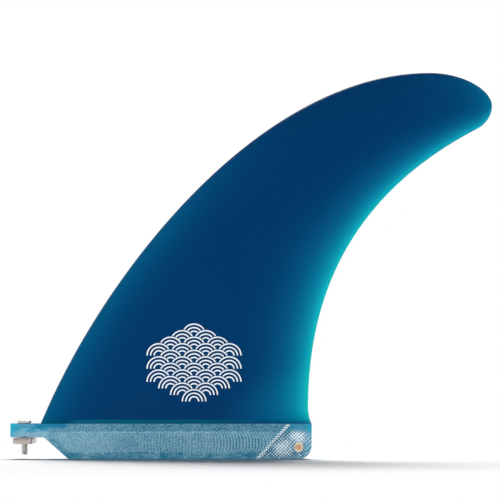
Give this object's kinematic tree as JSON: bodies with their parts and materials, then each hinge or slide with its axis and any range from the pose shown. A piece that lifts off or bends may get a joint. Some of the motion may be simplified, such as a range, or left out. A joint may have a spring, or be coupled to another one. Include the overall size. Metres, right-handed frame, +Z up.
{
  "type": "surfboard fin",
  "caption": "Raked single fin for a longboard: a foiled translucent blade on a box tab, with a heel pin and a front clamp screw and plate that lock it in the board's fin box.",
  "frame": {"origin": "middle of the tab's flat underside, on the fin's middle plane", "axes": "+X from the screw end towards the heel, the way the blade rakes; +Y across the fin; +Z up from the tab to the blade"},
  "size_m": [0.2795, 0.0144, 0.2241],
  "materials": {
    "tinted_laminate": "tinted glass-fibre laminate, wet-sanded to a satin gloss, darker where it is thick",
    "sanded_laminate": "sanded glass-fibre laminate with the cloth's weave and ply lines showing",
    "glass_cloth": "sanded pale glass cloth in clear resin",
    "brass": "plain, dulled",
    "stainless": "plain stainless"
  },
  "bodies": {
    "fin": {"blade": "tinted_laminate", "base_tab": "sanded_laminate", "heel_patch_left": "glass_cloth", "heel_patch_right": "glass_cloth", "heel_pin": "brass"},
    "screw": {"clamp_screw": "stainless"},
    "plate": {"clamp_plate": "stainless"}
  },
  "joints": [
    {"name": "screw_turn", "type": "hinge", "parent": "fin", "child": "screw", "pos_m": [-0.0922, 0, 0.0206], "axis": [0, 0, -1], "range_deg": [-2880, 180]},
    {"name": "plate_travel", "type": "slide", "parent": "fin", "child": "plate", "axis": [0, 0, 1], "range_m": [-0.00634, 0.00039]}
  ],
  "couplings": [
    {"joint": "screw_turn", "follows": "plate_travel", "rad_per_m": 7915.8}
  ]
}
